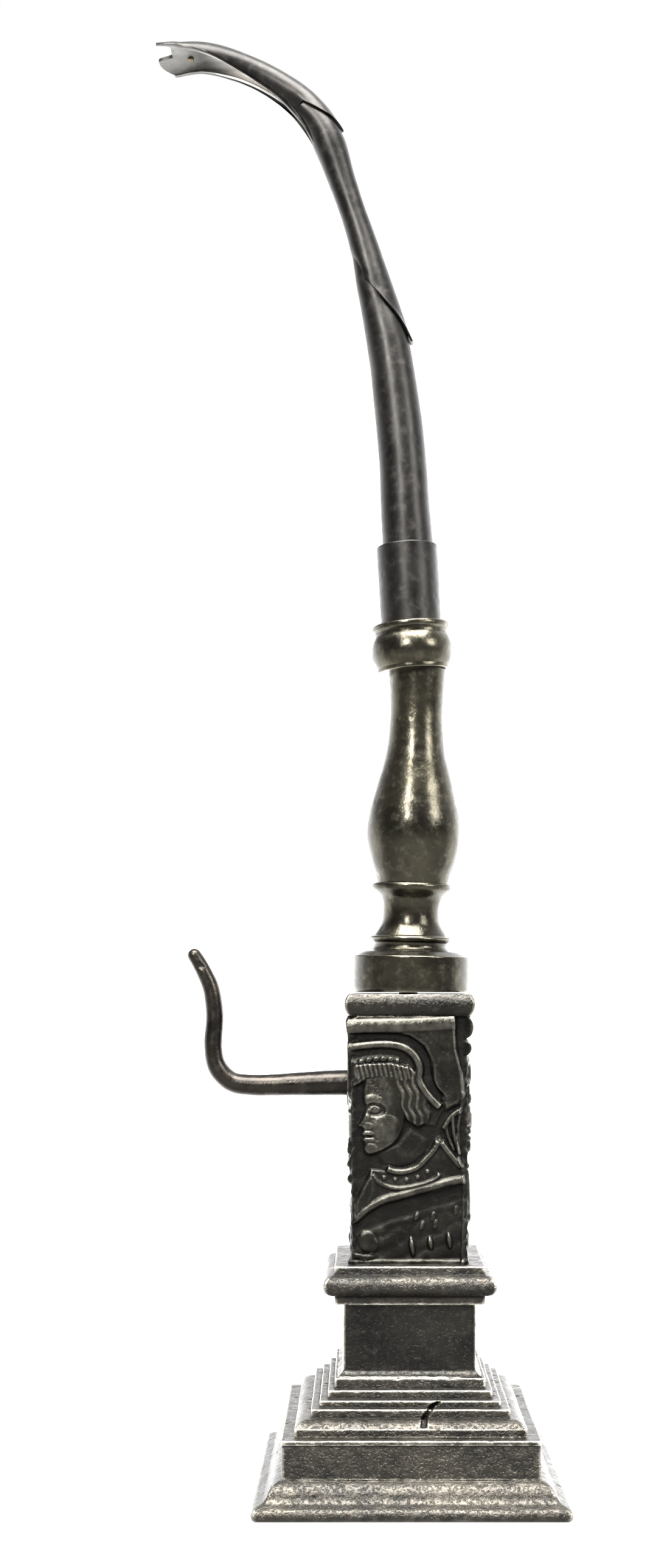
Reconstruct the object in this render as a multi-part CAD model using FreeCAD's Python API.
import FreeCAD, Part
import math
import os

# Ornamental hook stand.
# A square stepped foot carries a square pillar with a relief plate on each side.
# A J-hook is bolted through the pillar's -X wall.  A turned stem stands on the pillar's cap, swivels
# about Z and ends in a curved arm that opens into a spoon-shaped trough.
# Millimetres.  The origin is the centre of the foot's underside, +Z is up, and the arm points to -X.

os.makedirs("parts", exist_ok=True)
V = FreeCAD.Vector
UP = V(0, 0, 1)
ORIGIN = V(0, 0, 0)

# Heights of the joints between the stacked castings.
FOOT_TOP = 6.70
PLINTH_TOP = 14.35
STEPS_TOP = 24.40
DADO_TOP = 39.10
CORNICE_TOP = 46.75
PILLAR_TOP = 96.96
CAP_TOP = 101.40
SWIVEL_GAP = 0.30
DISC_TOP = 109.20
RING_TOP = 124.20
VASE_TOP = 168.40
BEAD_TOP = 178.30
SOCKET_TOP = 194.60

# Sides of the square pieces.
FOOT_SIDE = 62.20
LEDGE_SIDE = 51.40
PLINTH_SIDE = 50.90
DADO_SIDE = 26.70
CORE_SIDE = 21.00
CORE_WALL = 2.00
PLATE = 0.90
RELIEF = 1.00
CAP_SIDE = 26.50

# Foot cover, tie rod and their fasteners.
COVER_SIDE = 56.00
COVER_THICK = 1.20
SCREW_PLACE = 21.50
TIE_R = 2.50
FIT = 0.05
HOLLOW_R = 22.00

# Hook.
HOOK_Z = 82.80
HOOK_SEAT_R = 2.74
HOOK_THREAD_R = 2.00

# Swivel.
SPINDLE_R = 2.00
BUSH_R = 3.40
DISC_R = 12.35

# Arm.
ARM_WALL = 0.90
SOCKET_BORE_Z = 186.00


def save(node, shape):
    """Write one piece, a single valid solid, to its own file."""
    solids = shape.Solids
    if len(solids) != 1 or not shape.isValid():
        raise ValueError("%s: %d solids, valid %s" % (node, len(solids), shape.isValid()))
    solids[0].exportStep("parts/" + node + ".step")


def face_of(edges):
    return Part.Face(Part.Wire(edges))


def line(a, b):
    return Part.makeLine(a, b)


def outline_edges(parts):
    """Edges through (kind, points): 'line' joins points, 'arc' takes three, 'curve' is a spline."""
    edges = []
    for kind, points in parts:
        if kind == "arc":
            edges.append(Part.Arc(*points).toShape())
        elif kind == "curve":
            spline = Part.BSplineCurve()
            spline.interpolate(points)
            edges.append(spline.toShape())
        else:
            edges += [line(a, b) for a, b in zip(points, points[1:])]
    return edges


def moulding(profile):
    """A square-plan moulding.  Profile entries are (kind, [(half width, z), ...]), rising in z."""
    right = [(kind, [V(h, 0, z) for h, z in pts]) for kind, pts in profile]
    left = [(kind, [V(-h, 0, z) for h, z in reversed(pts)]) for kind, pts in reversed(profile)]
    top = right[-1][1][-1]
    bottom = right[0][1][0]
    edges = outline_edges(right) + [line(top, V(-top.x, 0, top.z))]
    edges += outline_edges(left) + [line(V(-bottom.x, 0, bottom.z), bottom)]
    face = face_of(edges)
    reach = FOOT_SIDE
    along_y = face.copy()
    along_y.translate(V(0, -reach, 0))
    along_y = along_y.extrude(V(0, 2 * reach, 0))
    along_x = along_y.copy()
    along_x.rotate(ORIGIN, UP, 90)
    return along_y.common(along_x)


def cylinder(radius, z0, z1, x=0.0, y=0.0):
    return Part.makeCylinder(radius, z1 - z0, V(x, y, z0))


def block(side, z0, z1):
    return Part.makeBox(side, side, z1 - z0, V(-side / 2, -side / 2, z0))


def hexagon(across_flats, z0, z1):
    radius = across_flats / math.sqrt(3)
    angles = [k * math.pi / 3 for k in range(7)]
    corners = [V(radius * math.cos(a), radius * math.sin(a), z0) for a in angles]
    return Part.Face(Part.makePolygon(corners)).extrude(V(0, 0, z1 - z0))


def lathe(profile, x, lean_deg, pivot_z):
    """A turned piece.  Its axis leans towards +X by lean_deg about the point (x, pivot_z)."""
    edges = outline_edges([(kind, [V(r, 0, z) for r, z in pts]) for kind, pts in profile])
    low = profile[0][1][0]
    high = profile[-1][1][-1]
    edges.append(line(V(high[0], 0, high[1]), V(0, 0, high[1])))
    edges.append(line(V(0, 0, high[1]), V(0, 0, low[1])))
    edges.append(line(V(0, 0, low[1]), V(low[0], 0, low[1])))
    body = face_of(edges).revolve(ORIGIN, UP, 360)
    body.rotate(V(0, 0, pivot_z), V(0, 1, 0), lean_deg)
    body.translate(V(x, 0, 0))
    return body


def spaced(values, steps):
    """Smooth samples of a list of equally long tuples, taken along a spline through their first three."""
    path = Part.BSplineCurve()
    path.interpolate([V(v[0], 0, v[1]) for v in values])
    knots = [path.parameter(V(v[0], 0, v[1])) for v in values]
    samples = []
    for k in range(steps + 1):
        u = knots[0] + (knots[-1] - knots[0]) * k / steps
        span = max(i for i in range(len(knots) - 1) if knots[i] <= u + 1e-9)
        t = (u - knots[span]) / (knots[span + 1] - knots[span])
        rest = [a + (b - a) * t for a, b in zip(values[span][2:], values[span + 1][2:])]
        tangent = path.tangent(u)[0]
        samples.append((path.value(u), tangent, rest))
    return samples


def round_rod(stations, steps, shrink=0.0):
    """A tapering round rod through stations (x, z, radius)."""
    wires = []
    for centre, tangent, (radius,) in spaced(stations, steps):
        circle = Part.Circle(centre, tangent, radius - shrink)
        circle.XAxis = V(0, 1, 0)
        wires.append(Part.Wire(circle.toShape()))
    return Part.makeLoft(wires, True, False)


def trim_below(shape, a, b, margin):
    """Cut away what lies under the slanting lip line from a to b, (x, z) pairs, all along Y."""
    size = 40.0
    along = V(b[0] - a[0], 0, b[1] - a[1]).normalize()
    under = V(along.z, 0, -along.x)
    start = V(a[0], -size / 2, a[1]) - along * margin
    end = V(b[0], -size / 2, b[1]) + along * size
    corners = [start, end, end + under * size, start + under * size, start]
    tool = Part.Face(Part.makePolygon(corners)).extrude(V(0, size, 0))
    return shape.cut(tool)


# ---------------------------------------------------------------- the foot and its stacked castings
def foot_moulding():
    body = moulding([
        ("arc", [(30.5, 0.0), (FOOT_SIDE / 2, 1.3), (30.4, 2.45)]),
        ("line", [(30.4, 2.45), (28.9, 3.1)]),
        ("arc", [(28.9, 3.1), (28.3, 3.8), (28.0, 4.6)]),
        ("arc", [(28.0, 4.6), (27.1, 5.9), (LEDGE_SIDE / 2, FOOT_TOP)]),
    ])
    body = body.cut(block(COVER_SIDE + 0.4, -1, COVER_THICK))
    body = body.cut(cylinder(HOLLOW_R, -1, FOOT_TOP - 2.0))
    body = body.cut(cylinder(TIE_R, -1, FOOT_TOP + 1))
    for x, y in screw_places():
        body = body.cut(cylinder(1.10, 0, 4.2, x, y))
    return body


def screw_places():
    return [(sx * SCREW_PLACE, sy * SCREW_PLACE) for sx in (-1, 1) for sy in (-1, 1)]


def base_plate():
    body = block(COVER_SIDE, 0, COVER_THICK)
    for x, y in screw_places():
        body = body.cut(cylinder(2.2, -1, COVER_THICK + 1, x, y))
    return body


def plate_screw(x, y):
    head = cylinder(2.2, 0.1, COVER_THICK, x, y)
    slot = Part.makeBox(6, 0.5, 0.5, V(x - 3, y - 0.25, 0))
    return head.fuse(cylinder(1.10, COVER_THICK, 4.2, x, y)).cut(slot)


def plinth_band():
    half = PLINTH_SIDE / 2
    body = moulding([("line", [(half, FOOT_TOP), (half, PLINTH_TOP)])])
    body = body.cut(cylinder(HOLLOW_R, FOOT_TOP - 1, PLINTH_TOP - 2.0))
    return body.cut(cylinder(TIE_R, FOOT_TOP, PLINTH_TOP + 1))


def stepped_cap():
    """One bevelled step and four fine square steps, with a short gash across the front ones."""
    body = moulding([
        ("line", [(22.9, PLINTH_TOP), (22.9, 16.0)]),
        ("arc", [(22.9, 16.0), (21.9, 17.0), (20.0, 17.5)]),
        ("line", [(20.0, 17.5), (19.75, 17.5), (19.75, 19.15), (18.05, 19.15), (18.05, 20.5), (16.45, 20.5),
                  (16.45, 22.2), (15.15, 22.2), (15.15, STEPS_TOP)]),
    ])
    body = body.cut(cylinder(14.0, PLINTH_TOP - 1, STEPS_TOP - 3.0))
    body = body.cut(cylinder(TIE_R, PLINTH_TOP, STEPS_TOP + 1))
    gash = Part.makeBox(0.9, 4.0, 5.6, V(-0.45, -4.0, -2.8))
    gash.rotate(ORIGIN, V(0, 1, 0), 32)
    gash.rotate(ORIGIN, V(1, 0, 0), -45)
    gash.translate(V(3.9, -18.4, 17.4))
    return body.cut(gash)


def dado_block():
    half = DADO_SIDE / 2
    body = moulding([("line", [(half + 1.3, STEPS_TOP), (half, STEPS_TOP + 1.1), (half, DADO_TOP)])])
    body = body.cut(cylinder(10.0, STEPS_TOP - 1, DADO_TOP - 2.5))
    return body.cut(cylinder(TIE_R, STEPS_TOP, DADO_TOP + 1))


def cornice():
    body = moulding([
        ("line", [(15.15, DADO_TOP), (15.15, 40.8), (15.6, 40.8)]),
        ("arc", [(15.6, 40.8), (17.5, 42.95), (15.6, 45.1)]),
        ("line", [(15.6, 45.1), (15.15, 45.1), (15.15, CORNICE_TOP)]),
    ])
    return body.cut(cylinder(TIE_R, DADO_TOP - 1, CORNICE_TOP + 1))


def tie_nut(z0, z1):
    return hexagon(8.0, z0, z1).cut(cylinder(TIE_R, z0 - 1, z1 + 1))


# ---------------------------------------------------------------- pillar, relief plates, cap and hook
def pillar_core():
    body = block(CORE_SIDE, CORNICE_TOP, PILLAR_TOP)
    body = body.cut(block(CORE_SIDE - 2 * CORE_WALL, CORNICE_TOP + 3.0, PILLAR_TOP + 1))
    body = body.cut(cylinder(TIE_R, CORNICE_TOP - 1, CORNICE_TOP + 4))
    return body.cut(hook_hole(HOOK_THREAD_R))


def hook_hole(radius):
    return Part.makeCylinder(radius, 9.0, V(-7.0, 0, HOOK_Z), V(-1, 0, 0))


def raised(points, height):
    """A flat raised pad on the front plate.  Points are (x across, z), its top stands height proud."""
    face = CORE_SIDE / 2 + PLATE
    corners = [V(x, -face + 0.1, z) for x, z in points + points[:1]]
    return Part.Face(Part.makePolygon(corners)).extrude(V(0, -height - 0.1, 0))


def oval(cx, cz, rx, rz, count=16):
    turn = 2 * math.pi / count
    return [(cx + rx * math.cos(k * turn), cz + rz * math.sin(k * turn)) for k in range(count)]


def relief_plate(turn_deg):
    """A plate with mitred edges and a plain hooded bust in low relief, turned to its side."""
    inner = CORE_SIDE / 2
    outer = inner + PLATE
    plan = [V(-inner, -inner, CORNICE_TOP), V(inner, -inner, CORNICE_TOP), V(outer, -outer, CORNICE_TOP)]
    plan += [V(-outer, -outer, CORNICE_TOP), V(-inner, -inner, CORNICE_TOP)]
    body = Part.Face(Part.makePolygon(plan)).extrude(V(0, 0, PILLAR_TOP - CORNICE_TOP))
    hood = [(-10.9, 95.4), (10.4, 95.4), (10.4, 71.5), (6.5, 71.5), (3.6, 79.0), (2.4, 86.0), (-1.5, 89.6)]
    hood += [(-10.9, 89.6)]
    mantle = [(-7.6, 63.0), (-5.8, 66.6), (-0.8, 64.8), (6.0, 70.4), (10.6, 65.0), (10.6, 59.0)]
    mantle += [(-10.6, 51.0), (-10.6, 56.0)]
    pads = [(hood, 0.65 * RELIEF), (oval(-4.3, 76.5, 4.9, 8.2), 0.85 * RELIEF), (mantle, 0.75 * RELIEF)]
    pads += [(oval(x, 50.6, 0.8, 1.9, 10), 0.9 * RELIEF) for x in (1.0, 4.6, 8.4)]
    edge = CORE_SIDE / 2 + PLATE - 0.1
    for low, high, height in ((92.4, 96.5, 1.5), (89.3, 91.7, 1.2)):
        pads += [([(-edge, low), (edge, low), (edge, high), (-edge, high)], height)]
    for points, height in pads:
        body = body.fuse(raised(points, height))
    body = body.removeSplitter()
    body.rotate(ORIGIN, UP, turn_deg)
    return body


def pillar_cap():
    body = moulding([
        ("arc", [(12.4, PILLAR_TOP), (CAP_SIDE / 2, 99.2), (12.4, CAP_TOP)]),
    ])
    spigot = block(CORE_SIDE - 2 * CORE_WALL, 94.0, PILLAR_TOP)
    return body.fuse(spigot).cut(cylinder(BUSH_R, 93.0, CAP_TOP + 1))


def pivot_bush():
    body = cylinder(BUSH_R, 94.0, CAP_TOP).fuse(cylinder(4.6, 93.0, 94.0))
    return body.cut(cylinder(SPINDLE_R + FIT, 92.0, CAP_TOP + 1))


HOOK_STATIONS = [
    (-10.0, HOOK_Z, HOOK_SEAT_R), (-13.0, HOOK_Z, HOOK_SEAT_R - 0.02), (-17.9, 82.7, 2.61),
    (-22.2, 82.5, 2.48), (-27.7, 82.3, 2.32), (-33.2, 82.3, 2.18), (-37.0, 83.1, 2.10), (-39.8, 86.0, 2.03),
    (-40.7, 89.9, 1.91), (-40.4, 96.7, 1.88), (-41.1, 102.2, 1.78), (-42.3, 105.2, 1.69),
    (-43.6, 107.7, 1.59), (-44.6, 109.3, 1.50)]


def hook():
    body = round_rod(HOOK_STATIONS, 36).cut(block(CORE_SIDE, HOOK_Z - 10, HOOK_Z + 10))
    tip = HOOK_STATIONS[-1]
    body = body.fuse(Part.makeSphere(tip[2], V(tip[0], 0, tip[1])))
    thread = Part.makeCylinder(HOOK_THREAD_R, 6.0, V(-4.6, 0, HOOK_Z), V(-1, 0, 0))
    return body.fuse(thread)


def on_hook_axis(shape):
    """Lay a piece made about Z along the hook's shank, its base at the core's inner wall."""
    shape.rotate(ORIGIN, V(0, 1, 0), 90)
    shape.translate(V(-CORE_SIDE / 2 + CORE_WALL, 0, HOOK_Z))
    return shape


# ---------------------------------------------------------------- the swivelling stem
def spindle_bore():
    return cylinder(SPINDLE_R, CAP_TOP - 1, SOCKET_BORE_Z + 1)


def swivel_disc():
    """A plain drum with a low domed top, its underside level so that it clears the cap."""
    body = lathe([
        ("line", [(DISC_R - 0.3, 99.0), (DISC_R, 99.3), (DISC_R, DISC_TOP - 0.35)]),
        ("arc", [(DISC_R, DISC_TOP - 0.35), (DISC_R - 0.12, DISC_TOP - 0.1), (DISC_R - 0.45, DISC_TOP)]),
        ("curve", [(DISC_R - 0.45, DISC_TOP), (10.4, 110.0), (8.0, 110.6)]),
    ], 0.7, 1.2, 105.0)
    body = body.cut(block(60, 90, CAP_TOP + SWIVEL_GAP))
    return body.cut(spindle_bore())


def stem_foot():
    """A sharp-edged flange on a cone, a scotia and a ring."""
    body = lathe([
        ("line", [(5.6, 110.0), (8.66, 112.75), (8.66, 113.1), (7.64, 113.4)]),
        ("curve", [(7.64, 113.4), (6.37, 115.7), (5.98, 118.0), (6.37, 120.8), (8.15, 122.7)]),
        ("arc", [(8.15, 122.7), (8.5, 123.4), (8.15, RING_TOP)]),
    ], 0.6, 1.6, 117.0)
    return body.cut(swivel_disc()).cut(spindle_bore())


def vase():
    body = lathe([
        ("curve", [(7.5, 122.6), (7.64, 124.9), (8.91, 128.4), (9.8, 133.0), (9.8, 137.0), (8.21, 143.7),
                   (6.2, 151.3), (5.42, 159.0), (5.56, 164.1), (5.82, 170.5)]),
    ], 1.45, 1.3, 145.0)
    return body.cut(stem_foot_outer()).cut(bead_outer()).cut(spindle_bore())


def stem_foot_outer():
    return lathe([("line", [(8.6, 110.0), (8.6, RING_TOP)])], 0.6, 1.6, 117.0)


def bead_outer():
    return lathe([("line", [(9.5, VASE_TOP), (9.5, BEAD_TOP)])], 0.76, -4.2, 174.0)


def bead_collar():
    body = lathe([
        ("line", [(7.64, VASE_TOP), (7.64, 169.3)]),
        ("arc", [(7.64, 169.3), (8.62, 172.3), (7.75, 175.6)]),
        ("line", [(7.75, 175.6), (7.75, 176.4), (8.15, 176.9), (8.15, 177.9), (7.4, BEAD_TOP)]),
    ], 0.76, -4.2, 174.0)
    return body.cut(spindle_bore())


def socket():
    """A plain ferrule with a blind bore for the arm."""
    body = lathe([
        ("line", [(6.30, 176.5), (6.36, SOCKET_TOP - 0.2), (6.16, SOCKET_TOP)]),
    ], 0.15, -3.2, 187.0)
    body = body.cut(bead_outer()).cut(spindle_bore())
    return body.cut(round_rod(LOWER_STATIONS, 18))


LOWER_STATIONS = [
    (0.35, SOCKET_BORE_Z, 5.35), (-0.1, 194.6, 5.30), (-0.6, 202.3, 5.16), (-1.2, 212.4, 4.94),
    (-2.15, 222.6, 4.80), (-3.5, 232.8, 4.55), (-4.45, 237.9, 4.35), (-6.35, 244.9, 3.65), (-7.8, 250.0, 3.15),
    (-9.2, 255.5, 2.55)]
MIDDLE_STATIONS = [
    (-3.9, 236.0, 4.85), (-5.2, 241.7, 4.30), (-7.5, 250.6, 3.55), (-9.95, 259.5, 2.85),
    (-11.65, 264.6, 2.68), (-12.95, 268.5, 2.72), (-14.35, 272.3, 2.80), (-15.65, 275.8, 3.02),
    (-16.6, 278.1, 3.10), (-18.15, 281.4, 2.92), (-19.75, 283.7, 2.68), (-21.8, 286.1, 2.42),
    (-24.0, 288.1, 2.15)]
LOWER_LIP = ((-10.9, 251.6), (0.6, 238.5))
UPPER_LIP = ((-21.9, 286.4), (-13.5, 282.2))

# Trough stations: x, z, half width across Y, height of the crown over the lips' level, wall,
# and the angle from the crown to each lip.
TROUGH_STATIONS = [
    (-15.4, 277.0, 3.65, 3.65, 0.70, 172.0), (-17.0, 280.3, 3.50, 3.50, 0.70, 171.0),
    (-18.6, 283.2, 3.30, 3.30, 0.70, 170.0), (-20.3, 285.4, 3.12, 3.12, 0.75, 168.0),
    (-21.9, 287.1, 2.98, 2.98, 0.80, 162.0), (-25.4, 289.7, 2.90, 2.90, 0.85, 152.0),
    (-30.8, 292.7, 2.99, 2.90, 0.90, 138.0), (-35.6, 294.5, 3.40, 3.06, 0.95, 120.0),
    (-39.9, 295.4, 4.20, 3.40, 1.00, 101.0), (-43.3, 295.8, 4.95, 3.30, 1.00, 92.0),
    (-45.3, 295.9, 5.60, 2.93, 1.00, 90.0), (-47.2, 295.9, 6.24, 2.48, 0.95, 90.0),
    (-48.4, 295.9, 6.80, 2.16, 0.90, 90.0), (-50.0, 295.9, 6.95, 1.85, 0.80, 90.0),
    (-52.4, 295.8, 6.95, 1.55, 0.70, 90.0)]


def trough_section(centre, tangent, shape):
    """One C-shaped section: an outer and an inner elliptical arc joined at the lips."""
    half_width, crown, wall, open_deg = shape
    normal = V(-tangent.z, 0, tangent.x)
    if normal.z < 0:
        normal = normal * -1
    limit = math.radians(open_deg)

    def arc(a, b, start, end):
        spline = Part.BSplineCurve()
        angles = [start + (end - start) * k / 12 for k in range(13)]
        spline.interpolate([centre + V(0, a * math.sin(t), 0) + normal * (b * math.cos(t)) for t in angles])
        return spline.toShape()

    outer = arc(half_width, crown, -limit, limit)
    inner = arc(half_width - wall, crown - wall, limit, -limit)
    ends = [outer.valueAt(outer.LastParameter), inner.valueAt(inner.FirstParameter)]
    starts = [inner.valueAt(inner.LastParameter), outer.valueAt(outer.FirstParameter)]
    return Part.Wire([outer, line(*ends), inner, line(*starts)])


def tip_cutter():
    """What is trimmed from the bill's end: all but a rounded lobe at +Y and a thin prong at -Y."""
    keep = [(-48.6, 9.0), (-48.6, 6.75), (-49.4, 6.45), (-50.4, 5.5), (-51.3, 4.2), (-52.0, 3.0)]
    keep += [(-52.2, 2.3)]
    keep += [(-51.7, 1.7), (-50.2, 1.5), (-49.3, 0.9), (-49.2, -1.5), (-49.5, -3.8), (-50.6, -5.0)]
    keep += [(-51.8, -6.3), (-50.4, -6.55), (-48.6, -6.8), (-48.6, -9.0)]
    outline = keep + [(-60.0, -9.0), (-60.0, 9.0), keep[0]]
    return Part.Face(Part.makePolygon([V(x, y, 280) for x, y in outline])).extrude(V(0, 0, 30))


def arm_trough():
    """A rolled tube that opens into a spoon bill with a rounded lobe, a notch and a thin prong."""
    sections = [trough_section(*sample) for sample in spaced(TROUGH_STATIONS, 30)]
    body = Part.makeLoft(sections, True, False)
    body = trim_below(body, *UPPER_LIP, margin=3.0)
    body = body.cut(tip_cutter())
    body = body.cut(round_rod(MIDDLE_STATIONS, 22))
    return body.cut(trough_rivet())


def trough_rivet():
    return cylinder(0.65, 297.0, 299.4, -45.6, 2.3)


def arm_lower_tube():
    body = round_rod(LOWER_STATIONS, 18)
    return body.cut(round_rod(LOWER_STATIONS, 18, ARM_WALL)).fuse(lower_plug())


def lower_plug():
    """The solid foot of the lower tube, where it stands in the socket."""
    body = round_rod(LOWER_STATIONS, 18, ARM_WALL)
    return body.common(block(40, SOCKET_BORE_Z - 5, SOCKET_BORE_Z + 6.0))


def arm_middle_tube():
    body = round_rod(MIDDLE_STATIONS, 22).cut(round_rod(MIDDLE_STATIONS, 22, ARM_WALL))
    body = trim_below(body, *LOWER_LIP, margin=20.0)
    return body.cut(round_rod(LOWER_STATIONS, 18))


save("foot_moulding", foot_moulding())
save("base_plate", base_plate())
for number, place in enumerate(screw_places(), 1):
    save("plate_screw_%d" % number, plate_screw(*place))
save("plinth_band", plinth_band())
save("stepped_cap", stepped_cap())
save("dado_block", dado_block())
save("cornice", cornice())
save("tie_rod", cylinder(TIE_R, 1.6, 55.0))
save("tie_washer", cylinder(9.0, 4.0, FOOT_TOP - 2.0).cut(cylinder(TIE_R, 3, 6)))
save("tie_nut_lower", tie_nut(1.8, 4.0))
save("tie_nut_upper", tie_nut(CORNICE_TOP + 3.0, 53.4))
save("pillar_core", pillar_core())
save("relief_front", relief_plate(0))
save("relief_right", relief_plate(90))
save("relief_back", relief_plate(180))
save("relief_left", relief_plate(270).cut(hook_hole(HOOK_SEAT_R)))
save("pillar_cap", pillar_cap())
save("pivot_bush", pivot_bush())
save("hook", hook())
save("hook_washer", on_hook_axis(cylinder(3.4, 0, 0.5).cut(cylinder(HOOK_THREAD_R, -1, 2))))
save("hook_nut", on_hook_axis(hexagon(6.0, 0.5, 3.3).cut(cylinder(HOOK_THREAD_R, -1, 5))))

save("stem_spindle", cylinder(SPINDLE_R, 88.6, 183.0))
save("pivot_washer", cylinder(4.2, 92.0, 92.7).cut(cylinder(SPINDLE_R, 91, 94)))
save("pivot_nut", hexagon(7.0, 89.2, 92.0).cut(cylinder(SPINDLE_R, 88, 93)))
save("swivel_disc", swivel_disc())
save("stem_foot", stem_foot())
save("vase", vase())
save("bead_collar", bead_collar())
save("socket", socket())
save("arm_lower_tube", arm_lower_tube())
save("arm_middle_tube", arm_middle_tube())
save("arm_trough", arm_trough())
save("trough_rivet", trough_rivet())
